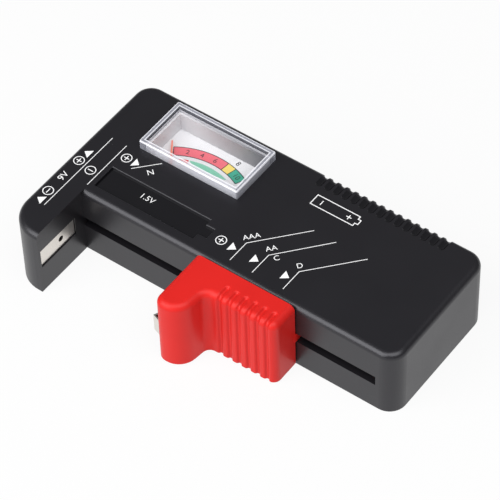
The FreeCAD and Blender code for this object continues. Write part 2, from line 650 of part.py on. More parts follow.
def small_screws(name, centres, seat, through):
    """Short cheese-head screws, heads up, seated on one plane."""
    made = []
    for number, (x, y) in enumerate(centres):
        tag = "%s_%d" % (name, number)
        blank = fuse(tag + "_blank", rod(tag + "_head", x, y, seat, 1.1, 0.55),
                     rod(tag + "_shank", x, y, seat - through, small_screw, through + 0.2))
        made.append(cut(tag, blank, block(tag + "_slot", x - 1.2, y - 0.16, seat + 0.3, x + 1.2, y + 0.16, seat + 0.7)))
    return group(name + "_group", *made)


nodes["dial_screws"] = small_screws("dial_screws", dial_posts[:2], dial_height + dial_thickness, 3.8)
bridge = new_body("bearing_bridge_body")
jewel_radius = Size.of(1.0)
pad(outline(bridge, "plan", "XY_Plane", bridge_z0, rectangle(
    pivot_x - bridge_span - 1.6, pivot_y - 1.7, pivot_x + bridge_span + 1.6, pivot_y + 1.7)), bridge_z1 - bridge_z0)
pocket(discs(bridge, "holes", "XY_Plane", bridge_z1, small_screw + 0.1, bridge_posts), bridge_z1 - bridge_z0)
pocket(discs(bridge, "jewel_hole", "XY_Plane", bridge_z1, jewel_radius, [(pivot_x, pivot_y)]), bridge_z1 - bridge_z0)
nodes["bearing_bridge"] = bridge
nodes["bridge_screws"] = small_screws("bridge_screws", bridge_posts, bridge_z1, 3.8)

# Yoke, core magnet and the bracket between them
core_radius = yoke_outer - 2.4
core_z0, core_z1 = yoke_z0 + 0.2, yoke_z1 - 0.2
nodes["yoke_ring"] = cut("yoke_ring_cut", rod("yoke_outside", pivot_x, pivot_y, yoke_z0, yoke_outer, yoke_z1 - yoke_z0),
                         rod("yoke_inside", pivot_x, pivot_y, yoke_z0 - 1, yoke_inner, yoke_z1 - yoke_z0 + 2))
nodes["core_magnet"] = rod("core_magnet_rod", pivot_x, pivot_y, core_z0, core_radius, core_z1 - core_z0)
bracket_z0, bracket_z1 = core_z0 + 1.8, core_z1 - 1.8
bracket_ring = cut("bracket_ring", rod("bracket_outside", pivot_x, pivot_y, bracket_z0, yoke_inner, bracket_z1 - bracket_z0),
                   rod("bracket_inside", pivot_x, pivot_y, bracket_z0 - 1, core_radius, bracket_z1 - bracket_z0 + 2))
bracket = doc.addObject("Part::MultiCommon", "core_bracket_common")
bracket.Shapes = [bracket_ring, block("bracket_bar", pivot_x - 0.9, pivot_y - 7, bracket_z0,
                                      pivot_x + 0.9, pivot_y + 7, bracket_z1)]
doc.recompute()
nodes["core_bracket"] = bracket

# Moving coil on two half arbors, turned with the pointer
coil_out, coil_in = yoke_outer - 1.1, yoke_outer - 1.8
coil_z0, coil_z1 = core_z0 - 1.2, core_z1 + 1.2
coil_wall = Size.of(0.8)
arbor_radius = Size.of(0.4)
coil_body = new_body("moving_coil_body")
pad(outline(coil_body, "loop", "XZ_Plane", 0, rectangle(-coil_out, coil_z0, coil_out, coil_z1)), 1.8, middle=True)
pocket(outline(coil_body, "eye", "XZ_Plane", 0, rectangle(-coil_in, coil_z0 + coil_wall, coil_in, coil_z1 - coil_wall)),
       4.0, middle=True)
round_edges(coil_body.Tip, "corners", 0.5, lambda m, b: b.XLength < 1e-6 and b.ZLength < 1e-6
            and near(abs(m.x), coil_out))
place(coil_body, pivot_x, pivot_y, 0)
coil_body.Placement.Rotation = FreeCAD.Rotation(vector(0, 0, 1), 34.0)
doc.recompute()
nodes["moving_coil"] = coil_body
jewel_top = frame_z1 + 0.9
nodes["lower_arbor"] = rod("lower_arbor_rod", pivot_x, pivot_y, frame_z1 + 0.45, arbor_radius, coil_z0 - frame_z1 - 0.45)
nodes["upper_arbor"] = rod("upper_arbor_rod", pivot_x, pivot_y, coil_z1, arbor_radius, bridge_z1 - coil_z1 - 0.25)
bore_radius = arbor_radius + 0.04
nodes["lower_jewel"] = cut("lower_jewel_cut", rod("lower_jewel_rod", pivot_x, pivot_y, frame_z1, 1.2, 0.9),
                           rod("lower_jewel_bore", pivot_x, pivot_y, frame_z1 + 0.35, bore_radius, 1.0))
nodes["upper_jewel"] = cut("upper_jewel_cut", rod("upper_jewel_rod", pivot_x, pivot_y, bridge_z0, jewel_radius,
                                                  bridge_z1 - bridge_z0),
                           rod("upper_jewel_bore", pivot_x, pivot_y, bridge_z0 - 0.5, bore_radius,
                               bridge_z1 - bridge_z0 + 0.35))

# Pointer with a tail, and the counterweight under the tail
pointer_z0 = bridge_z0 - 0.75
pointer_z1 = pointer_z0 + 0.3
tail = Size.of(4.6)
needle = new_body("pointer_body")
pad(outline(needle, "needle", "XY_Plane", pointer_z0, [
    (-tail, -0.45), (0, -0.6), (pointer_reach, -0.2), (pointer_reach, 0.2), (0, 0.6), (-tail, 0.45)]), 0.3)
pad(discs(needle, "hub", "XY_Plane", pointer_z0, 1.3, [(0, 0)]), 0.3)
pocket(discs(needle, "eye", "XY_Plane", pointer_z1, arbor_radius, [(0, 0)]), 0.3)
place(needle, pivot_x, pivot_y, 0)
needle.Placement.Rotation = FreeCAD.Rotation(vector(0, 0, 1), float(pointer_angle))
doc.recompute()
nodes["pointer"] = needle
turn = math.radians(float(pointer_angle))
weight_x, weight_y = pivot_x - math.cos(turn) * 3.6, pivot_y - math.sin(turn) * 3.6
nodes["counterweight"] = rod("counterweight_rod", weight_x, weight_y, pointer_z0 - 0.9, 0.9, 0.9)

# Hairspring: a flat spiral from a collet on the arbor to a fixed stud
spring_z = coil_z1 + 0.7
collet_radius = Size.of(1.0)
nodes["spring_collet"] = cut("spring_collet_cut", rod("collet_outside", pivot_x, pivot_y, coil_z1 + 0.5, collet_radius, 0.9),
                             rod("collet_inside", pivot_x, pivot_y, coil_z1, arbor_radius, 2.0))
spring_turns, spring_outer, spring_strip, spring_height = 4.0, 4.0, 0.14, 0.5
inner_edge, outer_edge = [], []
spiral_steps = 120
for i in range(spiral_steps + 1):
    share = i / spiral_steps
    angle = 2 * math.pi * spring_turns * share
    reach = float(collet_radius) + 0.01 + (spring_outer - float(collet_radius)) * share
    for edge, extra in ((inner_edge, 0.0), (outer_edge, spring_strip)):
        edge.append(vector(float(pivot_x) + (reach + extra) * math.cos(angle),
                           float(pivot_y) + (reach + extra) * math.sin(angle), float(spring_z)))
inside_curve, outside_curve = Part.BSplineCurve(), Part.BSplineCurve()
inside_curve.interpolate(inner_edge)
outside_curve.interpolate(outer_edge)
spiral_face = Part.Face(Part.Wire([inside_curve.toShape(), Part.makeLine(inner_edge[-1], outer_edge[-1]),
                                   outside_curve.toShape(), Part.makeLine(outer_edge[0], inner_edge[0])]))
hairspring = doc.addObject("Part::Feature", "hairspring_spiral")
hairspring.Shape = spiral_face.extrude(vector(0, 0, spring_height))
nodes["hairspring"] = hairspring
stud_x = pivot_x + spring_outer + spring_strip + 0.02
nodes["spring_stud"] = fuse("spring_stud_fuse", block(
    "stud_foot", stud_x, pivot_y - 0.6, spring_z - 0.2, pivot_x + bridge_span - 1.3, pivot_y + 0.6, spring_z + 0.7),
    block("stud_head", stud_x, pivot_y - 0.4, spring_z - 0.2, stud_x + 1.0, pivot_y + 0.4, spring_z + 1.0))

# Circuit board hung from two posts, with its screws and two resistors below
board_x0, board_x1 = left + 58.0, left + 92.0
board_y0, board_y1 = front + case_width / 3, back - 8.0
board_z0, board_z1 = Size.of(8.0), Size.of(9.2)
board_posts = [(board_x0 + 3.5, board_y0 + 3.5), (board_x1 - 3.5, board_y1 - 3.5)]
pad(discs(case, "board_posts", "XY_Plane", board_z1, 2.2, board_posts), ceiling - board_z1 + 0.2)
pocket(discs(case, "board_pilots", "XY_Plane", board_z1, 0.82, board_posts), 6.0, flip=True)
lead_radius = Size.of(0.35)
load_y, series_y = board_y0 + 6.0, board_y0 + 11.0
load_x, series_x = (board_x0 + 9.0, board_x0 + 23.0), (board_x0 + 10.0, board_x0 + 21.0)
board = new_body("circuit_board_body")
pad(outline(board, "plan", "XY_Plane", board_z0, rectangle(board_x0, board_y0, board_x1, board_y1)), board_z1 - board_z0)
pocket(discs(board, "screw_holes", "XY_Plane", board_z0, 1.0, board_posts), board_z1 - board_z0, flip=True)
pocket(discs(board, "lead_holes", "XY_Plane", board_z0, lead_radius + 0.1,
             [(x, load_y) for x in load_x] + [(x, series_y) for x in series_x]), board_z1 - board_z0, flip=True)
nodes["circuit_board"] = board
board_screws = []
for number, (x, y) in enumerate(board_posts):
    tag = "board_screw_%d" % number
    blank = fuse(tag + "_blank", rod(tag + "_head", x, y, board_z0 - 0.9, 1.5, 0.9),
                 rod(tag + "_shank", x, y, board_z0 - 0.2, 0.8, 6.0))
    board_screws.append(cut(tag, blank, block(tag + "_slot", x - 1.7, y - 0.2, board_z0 - 1.1, x + 1.7, y + 0.2, board_z0 - 0.5)))
nodes["board_screws"] = group("board_screws_group", *board_screws)


def resistor(name, ends, y, radius, length, drop):
    """A round resistor below the board, its two leads bent up through it."""
    z, middle = board_z0 - drop, (ends[0] + ends[1]) / 2
    pieces = [rod(name + "_rod", middle - length / 2, y, z, radius, length, "x"),
              rod(name + "_lead", ends[0], y, z, lead_radius, ends[1] - ends[0], "x")]
    for number, x in enumerate(ends):
        ball = doc.addObject("Part::Sphere", "%s_bend_%d" % (name, number))
        ball.setExpression("Radius", lead_radius.text)
        pieces += [place(ball, x, y, z), rod("%s_leg_%d" % (name, number), x, y, z, lead_radius, drop + 1.6)]
    return fuse(name + "_fuse", *pieces)


nodes["load_resistor"] = resistor("load_resistor", load_x, load_y, Size.of(1.7), Size.of(10.0), Size.of(2.2))
nodes["series_resistor"] = resistor("series_resistor", series_x, series_y, Size.of(1.2), Size.of(6.5), Size.of(1.8))


def cable(name, *points):
    """An insulated wire along a path whose corners are rounded."""
    bend_radius = 1.4
    spots = [vector(*[float(c) for c in point]) for point in points]
    edges, start = [], spots[0]
    for before, corner, after in zip(spots, spots[1:], spots[2:]):
        into, out = (before - corner).normalize(), (after - corner).normalize()
        first, last = corner + into * bend_radius, corner + out * bend_radius
        middle = corner + (into + out) * bend_radius * (1 - math.sqrt(0.5))
        edges += [Part.makeLine(start, first), Part.Arc(first, middle, last).toShape()]
        start = last
    edges.append(Part.makeLine(start, spots[-1]))
    path = Part.Wire(edges)
    circle = Part.Wire(Part.makeCircle(float(wire_radius), spots[0], spots[1] - spots[0]))
    item = doc.addObject("Part::Feature", name + "_pipe")
    item.Shape = path.makePipeShell([circle], True, True)
    return item


touch = Size.of(0.02)
wire_z = frame_z1 + 1.5
under_board = board_z0 - touch
leg_side = leg_back - strip - wire_radius - touch
nodes["negative_wire"] = cable(
    "negative_wire", (leg_side, contact_y1 - 1.0, 12.2), (leg_side, front + 13.0, 12.2), (leg_side, front + 13.0, wire_z),
    (left + 11.0, front + 13.0, wire_z), (left + 11.0, back - 7.7, wire_z), (board_x0 + 11.0, back - 7.7, wire_z),
    (board_x0 + 11.0, board_y1 - 4.5, wire_z), (board_x0 + 11.0, board_y1 - 4.5, under_board))
tab_side = left + wall + 1.2 + strip + touch
nodes["positive_wire"] = cable(
    "positive_wire", (tab_side, terminal_y[1] - 1.9, 9.0), (left + 8.5, terminal_y[1] - 1.9, 9.0),
    (left + 8.5, front + 16.0, 9.0), (left + 13.0, front + 16.0, 9.0), (left + 13.0, front + 16.0, wire_z),
    (left + 13.0, back - 9.6, wire_z), (board_x0 + 5.0, back - 9.6, wire_z),
    (board_x0 + 5.0, board_y1 - 4.5, wire_z), (board_x0 + 5.0, board_y1 - 4.5, under_board))
rail_wire_x = rail_x1 - 8.0
nodes["rail_wire"] = cable(
    "rail_wire", (rail_wire_x, rail_back + touch, rail_mid), (rail_wire_x, front + 10.0, rail_mid),
    (rail_wire_x, front + 10.0, wire_z), (board_x1 - 4.0, front + 10.0, wire_z), (board_x1 - 4.0, board_y0 + 3.0, wire_z),
    (board_x1 - 4.0, board_y0 + 3.0, under_board))
nodes["meter_wires"] = group("meter_wires_group", cable(
    "meter_wire_a", (board_x0 + 2.0, board_y0 + 7.0, under_board), (board_x0 + 2.0, board_y0 + 7.0, wire_z),
    (dial_x1 + 4.0, board_y0 + 7.0, wire_z), (dial_x1 + 4.0, pivot_y, wire_z),
    (pivot_x + bridge_span + 1.3 + touch, pivot_y, wire_z)), cable(
    "meter_wire_b", (board_x0 + 2.0, board_y0 + 10.0, under_board), (board_x0 + 2.0, board_y0 + 10.0, wire_z),
    (pivot_x, board_y0 + 10.0, wire_z), (pivot_x, pivot_y + yoke_outer + touch, wire_z)))
nodes["terminal_link"] = rod("terminal_link_rod", tab_side, terminal_y[0] - 1.9, 10.5, wire_radius,
                             leg_back - strip - tab_side - touch, "x")

# Check every piece, then write it
doc.recompute()
for item in doc.Objects:
    if "Invalid" in item.State or "Error" in item.State:
        raise ValueError("%s: %s" % (item.Name, item.State))
for name, item in nodes.items():
    shape = item.Shape
    if shape.isNull() or not shape.isValid() or not shape.Solids:
        raise ValueError("bad shape: " + name)
for name, item in nodes.items():
    item.Shape.exportStep("parts/%s.step" % name)
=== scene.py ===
import math

import bpy
import numpy as np
from mathutils import Matrix, Vector


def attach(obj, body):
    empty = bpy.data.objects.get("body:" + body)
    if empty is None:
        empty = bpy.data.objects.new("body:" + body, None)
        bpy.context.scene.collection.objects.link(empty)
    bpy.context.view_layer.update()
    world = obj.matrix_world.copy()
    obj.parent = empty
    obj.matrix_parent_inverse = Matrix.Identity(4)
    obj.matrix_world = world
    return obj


bl_info = {
    "name": "Battery Tester Finish",
    "version": (1, 0, 0),
    "blender": (4, 5, 0),
    "location": "View3D > Sidebar > Tester",
    "description": "Finishes, printed marks, dial and stage for a handheld battery tester",
    "category": "Object",
}

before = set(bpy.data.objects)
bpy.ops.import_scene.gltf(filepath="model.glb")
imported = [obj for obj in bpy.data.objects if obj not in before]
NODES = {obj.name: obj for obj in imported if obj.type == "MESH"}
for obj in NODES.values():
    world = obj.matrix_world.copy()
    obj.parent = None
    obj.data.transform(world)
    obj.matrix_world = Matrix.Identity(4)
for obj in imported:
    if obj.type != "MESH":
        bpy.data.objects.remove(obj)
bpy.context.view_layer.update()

MM = 0.001

# The case's left end and front face, and heights in it, in the row frame
CASE_LEFT, CASE_FRONT = -0.055, -0.021
TOP_Z = 0.0224
RECESS_Z = TOP_Z - 0.0008
DIAL_Z = 0.0172
INK_LIFT = 0.00003
# How far a letter's outline grows, as a share of its size
LETTER_WEIGHT = -0.002

# The window's opposite corners, the height of its top and its wall
WINDOW_LOW, WINDOW_HIGH = (-0.0416, 0.0001), (-0.0094, 0.0176)
WINDOW_TOP, WINDOW_WALL = 0.0251, 0.0013

# Boxes of painted shade round the recess floor and the back grooves of the case, which also get a
# smoother polish: two opposite corners in millimetres on the case, and the lowest and highest z
SHADE_AND_POLISH_BOXES = (
    ((11.0, 2.0), (49.0, 12.0), RECESS_Z - 0.0002, RECESS_Z + 0.0004),
    ((57.0, 35.0), (101.0, 40.2), TOP_Z - 0.0008, TOP_Z - 0.00008),
)

# Marks on the top, in millimetres from the case's left end and front face
STOP_LINES = (
    [(5.55, -9.3), (5.55, 19.65)],
    [(10.34, 2.75), (10.34, 19.6)],
    [(16.3, 13.8), (21.9, 19.9)],
    [(56.4, 3.3), (56.5, 10.4), (68.3, 23.8)],
    [(63.5, 3.2), (63.6, 10.3), (75.25, 23.8)],
    [(73.15, 3.3), (73.2, 10.3), (85.1, 23.75)],
)
# Middle of each ringed sign, and the bars in it
SIGNS = (
    (3.25, -4.8, "y"), (3.25, 8.2, "xy"), (7.9, 7.2, "x"), (13.05, 16.1, "xy"), (50.6, 7.4, "xy"),
)
SIGN_RING = (1.3, 1.55)
SIGN_HALF, SIGN_BAR = 0.85, 0.27
# Each arrow's base, its middle line and its apex
ARROWS = (
    (4.35, -8.2, 2.35), (4.35, 11.65, 2.4), (15.45, 16.0, 17.3),
    (53.6, 7.1, 55.65), (60.7, 7.1, 62.75), (70.35, 7.1, 72.35),
)
ARROW_HALF = 1.5
CELL_SIGN_PLACE = (62.0, 30.9)
# The slope of the stop lines' far ends, in degrees, and unit vectors along it and across it
SLOPE = 48.8
ALONG, ACROSS = np.array([0.658, 0.753]), np.array([-0.753, 0.658])
# Size letters: the stop line's bend that they stand at, then their offsets along and across it
SIZE_LETTERS = (
    ("AAA", (56.4, 10.35), -0.5, 1.75),
    ("AA", (63.4, 10.5), -0.4, 1.75),
    ("C", (63.4, 10.5), 0.9, -1.75),
    ("D", (73.1, 10.4), -0.3, 1.7),
)

# The dial: the pointer's axis and the scale's radii in millimetres, and angles in degrees
PIVOT = np.array([30.3, 11.2])
SCALE_LOW, SCALE_HIGH = 19.7, 22.75
SCALE_START, YELLOW_START, GREEN_START, SCALE_END = 123.5, 82.0, 75.0, 63.4
SCALE_BANDS = (
    ("red_band", (0.84, 0.17, 0.21), SCALE_START, YELLOW_START),
    ("yellow_band", (0.93, 0.72, 0.18), YELLOW_START, GREEN_START),
    ("green_band", (0.06, 0.42, 0.29), GREEN_START, SCALE_END),
)
# Each number, its angle and its radius
SCALE_NUMBERS = (
    ("2", 113.0, 21.2), ("4", 102.0, 21.2), ("6", 91.0, 21.2), ("10", 69.0, 21.2), ("8", 77.5, 24.4),
)

# Each lamp's place and size in metres, and its power in watts
LAMPS = (
    ("key", (-0.3, -0.75, 0.62), 1.0, 13.0),
    ("over", (0.45, -0.2, 0.9), 0.9, 8.0),
)


class Value:
    """A number socket of a shader that takes part in Python arithmetic."""

    def __init__(self, finish, socket):
        self.finish, self.socket = finish, socket

    def join(self, operation, first, second):
        """One Math node on two numbers."""
        return self.finish.node("ShaderNodeMath", {"operation": operation}, {0: first, 1: second})

    def __add__(self, other):
        return self.join("ADD", self, other)

    def __sub__(self, other):
        return self.join("SUBTRACT", self, other)

    def __rsub__(self, other):
        return self.join("SUBTRACT", other, self)

    def __mul__(self, other):
        return self.join("MULTIPLY", self, other)

    def __pow__(self, other):
        return self.join("POWER", self, other)

    def __rpow__(self, other):
        return self.join("POWER", other, self)

    __radd__, __rmul__ = __add__, __mul__


class Finish:
    """A material under construction."""

    def __init__(self, name, colour, roughness, **constants):
        self.material = bpy.data.materials.new(name)
        self.material.use_nodes = True
        self.tree = self.material.node_tree
        self.shader = self.tree.nodes["Principled BSDF"]
        self.output = self.tree.nodes["Material Output"]
        self.material.diffuse_color = (*colour, 1.0)
        self.set("Base Color", (*colour, 1.0))
        self.set("Roughness", roughness)
        for socket, value in constants.items():
            self.set(socket.replace("_", " "), value)

    def set(self, socket, value):
        """Give a shader socket a constant, or feed it from another node."""
        if isinstance(value, Value):
            self.tree.links.new(value.socket, self.shader.inputs[socket])
        else:
            self.shader.inputs[socket].default_value = value

    def node(self, kind, settings=None, inputs=None, output=0):
        """Add one node: its settings first, then the values or links of its sockets."""
        made = self.tree.nodes.new(kind)
        for key, value in (settings or {}).items():
            if key == "stops":
                ramp = made.color_ramp.elements
                while len(ramp) < len(value):
                    ramp.new(0.5)
                for element, (place, colour) in zip(ramp, value):
                    element.position, element.color = place, colour
            else:
                setattr(made, key, value)
        for key, value in (inputs or {}).items():
            if isinstance(value, Value):
                self.tree.links.new(value.socket, made.inputs[key])
            else:
                made.inputs[key].default_value = value
        return Value(self, made.outputs[output])

    def mix(self, share, first, second):
        """Feed the material's surface from two shaders."""
        mixed = self.node("ShaderNodeMixShader", inputs={0: share, 1: first, 2: second})
        self.tree.links.new(mixed.socket, self.output.inputs["Surface"])

    def surface(self):
        """The material's own shader."""
        return Value(self, self.shader.outputs[0])

    def place(self):
        """Object coordinates."""
        return self.node("ShaderNodeTexCoord", output=3)

    def axes(self, middle=None):
        """X, Y and Z, or the unsigned distances along them from a point."""
        spot = self.place()
        if middle is not None:
            spot = self.node("ShaderNodeVectorMath", {"operation": "SUBTRACT"}, {0: spot, 1: middle})
            spot = self.node("ShaderNodeVectorMath", {"operation": "ABSOLUTE"}, {0: spot})
        split = self.node("ShaderNodeSeparateXYZ", inputs={0: spot}).socket.node
        return [Value(self, socket) for socket in split.outputs]

    def above(self, value, level):
        """1 where a value is greater than a level, 0 elsewhere."""
        return self.node("ShaderNodeMath", {"operation": "GREATER_THAN"}, {0: value, 1: level})

    def within(self, low, high):
        """1 inside a box, 0 outside it."""
        middle = [(a + b) / 2 for a, b in zip(low, high)]
        x, y, z = [1.0 - self.above(axis, (b - a) / 2)
                   for axis, a, b in zip(self.axes(middle), low, high)]
        return x * y * z

    def noise(self, scale, detail=2.0, stretch=None):
        """Cloudy noise on Object coordinates, stretched where a finish has a grain."""
        where = self.place()
        if stretch:
            where = self.node("ShaderNodeMapping", inputs={"Vector": where, "Scale": stretch})
        return self.node("ShaderNodeTexNoise", inputs={
            "Vector": where, "Scale": scale, "Detail": detail})

    def tint(self, mask, low, high):
        """A colour between two, by a mask; each is a plain colour or comes from a node."""
        low, high = [c if isinstance(c, Value) else (*c, 1.0) for c in (low, high)]
        return self.node("ShaderNodeMix", {"data_type": "RGBA"}, {0: mask, 6: low, 7: high}, output=2)

    def bump(self, height, distance):
        """Raise the surface by a height from 0 to 1 times a distance."""
        self.set("Normal", self.node("ShaderNodeBump", inputs={
            "Height": height, "Distance": distance}))


def scaled(colour, factor):
    """A colour times a factor, at most 1."""
    return [min(1.0, c * factor) for c in colour]


def moulded(name, colour, roughness, grain, shade_and_polish=(), **constants):
    """Moulded plastic: a fine grain, a slightly uneven sheen, and boxes of painted shade with a
    polish.

    With a cloud c from 0 to 1, the colour is 0.9 to 1.1 of its own and the roughness gains
    0.1 * (c - 0.5). In a box the colour is 0.55 of its own, painted shade, and the roughness falls to
    0.4.
    """
    finish = Finish(name, colour, roughness, **constants)
    cloud = finish.noise(60.0)
    shade = finish.tint(cloud, scaled(colour, 0.9), scaled(colour, 1.1))
    sheen = cloud * 0.1 + (roughness - 0.05)
    for low, high in shade_and_polish:
        inside = finish.within(low, high)
        # Painted shade: inside a box the colour falls to 0.55 of its own; the lower roughness is
        # polish.
        shade = finish.tint(inside, shade, scaled(colour, 0.55))
        sheen = sheen * (1.0 - inside * 0.6)
    finish.set("Base Color", shade)
    finish.set("Roughness", sheen)
    finish.bump(finish.noise(9000.0, 1.0), grain)
    return finish.material


def painted_shade_along_x(name, first, last, start, end):
    """Smooth plastic with painted shade: its colour changes evenly along X, from start to end."""
    finish = Finish(name, first, 0.35)
    share = (finish.axes()[0] - start) * (1.0 / (end - start))
    finish.set("Base Color", finish.tint(share, first, last))
    return finish.material


def plated(name, colour, roughness, stretch=(1.0, 1.0, 1.0)):
    """Bare or plated metal: a drawn grain g from 0 to 1 adds 0.16 * (g - 0.5) to the roughness."""
    finish = Finish(name, colour, roughness, Metallic=1.0)
    grain = finish.noise(1800.0, 2.0, stretch)
    finish.set("Roughness", grain * 0.16 + (roughness - 0.08))
    finish.set("Base Color", finish.tint(grain, scaled(colour, 0.9), scaled(colour, 1.05)))
    return finish.material


def wound(name, colour):
    """Fine wire wound in a coil: close ridges across Z."""
    finish = Finish(name, colour, 0.35, Metallic=1.0)
    ridges = finish.node("ShaderNodeTexWave", {"bands_direction": "Z"}, {
        "Vector": finish.place(), "Scale": 1200.0, "Distortion": 0.3})
    finish.bump(ridges, 0.00005)
    return finish.material


def banded(name, colour, bands, start, pitch):
    """A resistor's lacquer with plain colour rings along X."""
    finish = Finish(name, colour, 0.4)
    first_ring, ring_step, ring_width = 0.1, 0.2, 0.09
    stops = [(0.0, (*colour, 1.0))]
    for number, ring in enumerate(bands):
        low = first_ring + number * ring_step
        stops += [(low, (*ring, 1.0)), (low + ring_width, (*colour, 1.0))]
    along = (finish.axes()[0] - start) * (1.0 / pitch)
    finish.set("Base Color", finish.node("ShaderNodeValToRGB", {"stops": stops}, {0: along}))
    return finish.material


def clear_plastic(name, low, high, top, wall):
    """Clear acrylic box: see-through on top, its walls a little milky with the light they carry.

    With x, y from the box's middle and h its half sizes, r = max(|x| - hx, |y| - hy) + wall is
    above 0 in the walls and reaches wall at the outside. Two painted highlights run round the top:
    the outer edge, where r is near wall, and the inner edge, where r is near 0. Below them the
    inner faces, where r is 0, are painted paler than the rest, as painted light. The share that
    shines is 0.03 + 0.9 * f ** 5, f from 0 face on to 1 edge on, and more in the walls.
    """
    bright, milky = (0.9, 0.9, 0.95), (0.56, 0.57, 0.65)
    slack, outer_highlight, inner_highlight, highlight_depth = 0.00003, 0.0004, 0.0003, 0.0004
    wall_share, highlight_share, lit_face_share = 0.3, 0.35, 0.22
    finish = Finish(name, bright, 0.1)
    x, y, z = finish.axes(((low[0] + high[0]) / 2, (low[1] + high[1]) / 2, 0.0))
    rim = finish.node("ShaderNodeMath", {"operation": "MAXIMUM"}, {
        0: x - ((high[0] - low[0]) / 2 - wall), 1: y - ((high[1] - low[1]) / 2 - wall)})
    walls = finish.above(rim, -slack)
    # Painted highlights: bright lines round the top at the walls' outer and inner edges.
    highlight_edges = finish.above(rim, wall - outer_highlight) + 1.0 - finish.above(rim, inner_highlight)
    upper = finish.above(z, top - highlight_depth)
    lines = highlight_edges * upper
    # Painted light: the walls' inner faces below the lines are made paler.
    inner = walls * (1.0 - finish.above(rim, slack)) * (1.0 - upper)
    # The painted highlights and painted light take the bright colour; the rest of the walls are milky.
    finish.set("Base Color", finish.tint(walls * (1.0 - lines) * (1.0 - inner), bright, milky))
    finish.set("Metallic", 1.0 - walls)
    facing = finish.node("ShaderNodeLayerWeight", inputs={"Blend": 0.5}, output=1)
    gloss = facing ** 5.0 * 0.9 + 0.03
    through = finish.node("ShaderNodeBsdfTransparent", inputs={"Color": (1.0, 1.0, 1.0, 1.0)})
    milk = walls * (lines * highlight_share + wall_share) + inner * lit_face_share
    finish.mix(gloss + milk, through, finish.surface())
    return finish.material


def ink(name, colour, roughness=0.5):
    """Printed ink, whose colour is 0.94 to 1 of its own in a cloud."""
    finish = Finish(name, colour, roughness)
    finish.set("Base Color", finish.tint(finish.noise(400.0), scaled(colour, 0.94), colour))
    return finish.material


def mesh_piece(name, points, faces, material, body):
    """A mesh object at the origin from an array of points and its faces."""
    mesh = bpy.data.meshes.new(name)
    mesh.from_pydata(np.asarray(points, float).tolist(), [], [list(face) for face in faces])
    mesh.materials.append(material)
    mesh.update()
    piece = bpy.data.objects.new(name, mesh)
    bpy.context.scene.collection.objects.link(piece)
    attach(piece, body)
    return piece


def on_case(points, z):
    """Millimetres from the case's left end and front face, made row-frame metres at height z."""
    flat = np.atleast_2d(np.asarray(points, float)) * MM
    return np.column_stack([flat[:, 0] + CASE_LEFT, flat[:, 1] + CASE_FRONT, np.full(len(flat), z)])


def way(angle):
    """The unit vector at an angle in degrees."""
    turn = math.radians(angle)
    return np.array([math.cos(turn), math.sin(turn)])


class Sheet:
    """Flat printed shapes gathered into one mesh."""

    def __init__(self, z):
        self.z, self.points, self.faces, self.count = z, [], [], 0

    def add(self, flat, faces):
        """Put points at the sheet's height, and count their faces on from those before."""
        placed = on_case(flat, self.z)
        self.points.append(placed)
        self.faces += [[index + self.count for index in face] for face in faces]
        self.count += len(placed)

    def stroke(self, path, width):
        """A line of even width: each point moved half a width along its mitred normal, both ways."""
        path = np.asarray(path, float)
        step = np.diff(path, axis=0)
        step /= np.linalg.norm(step, axis=1)[:, None]
        normal = np.column_stack([-step[:, 1], step[:, 0]])
        first, last = np.vstack([normal[:1], normal]), np.vstack([normal, normal[-1:]])
        mitre = (first + last) / (1.0 + np.sum(first * last, axis=1))[:, None]
        n = len(path)
        self.add(np.vstack([path - mitre * width / 2, path + mitre * width / 2]),
                 [(i, i + 1, n + i + 1, n + i) for i in range(n - 1)])

    def band(self, middle, low, high, start, end, steps=48):
        """A ring's sector: the middle plus each of two radii times (cos t, sin t).

        The angle t runs from start to end in degrees, and the radii may change along it.
        """
        turn = np.radians(np.linspace(start, end, steps + 1))
        round_ = np.column_stack([np.cos(turn), np.sin(turn)])
        low, high = np.broadcast_to(low, turn.shape), np.broadcast_to(high, turn.shape)
        n, ahead = steps + 1, end > start
        self.add(np.vstack([middle + round_ * low[:, None], middle + round_ * high[:, None]]),
                 [(i, n + i, n + i + 1, i + 1) if ahead else (i, i + 1, n + i + 1, n + i)
                  for i in range(steps)])

    def polygon(self, corners):
        """One flat face."""
        self.add(corners, [tuple(range(len(corners)))])

    def sign(self, x, y, half, width, arms):
        """A minus sign along X or Y, or a plus sign: bars that meet without lying over each other."""
        if "x" in arms:
            self.stroke([(x - half, y), (x + half, y)], width)
        if arms == "y":
            self.stroke([(x, y - half), (x, y + half)], width)
        elif "y" in arms:
            for side in (-1.0, 1.0):
                self.stroke([(x, y + side * width / 2), (x, y + side * half)], width)

    def words(self, text, size, place, turn, align="CENTER"):
        """Plain lettering, its anchor at a place, turned by an angle in degrees."""
        curve = bpy.data.curves.new("letters", "FONT")
        curve.body, curve.size, curve.align_x, curve.align_y = text, 1.0, align, "CENTER"
        curve.offset = LETTER_WEIGHT
        holder = bpy.data.objects.new("letters", curve)
        bpy.context.scene.collection.objects.link(holder)
        bpy.context.view_layer.update()
        graph = bpy.context.evaluated_depsgraph_get()
        shape = bpy.data.meshes.new_from_object(holder.evaluated_get(graph))
        flat = np.empty(len(shape.vertices) * 3)
        shape.vertices.foreach_get("co", flat)
        flat = flat.reshape(-1, 3)[:, :2] * size
        c, s = way(turn)
        self.add(flat @ np.array([[c, s], [-s, c]]) + np.asarray(place, float),
                 [tuple(p.vertices) for p in shape.polygons])
        bpy.data.objects.remove(holder)
        bpy.data.curves.remove(curve)
        bpy.data.meshes.remove(shape)

    def piece(self, name, material, body="case"):
        """The gathered shapes as one object."""
        return mesh_piece(name, np.vstack(self.points), self.faces, material, body)


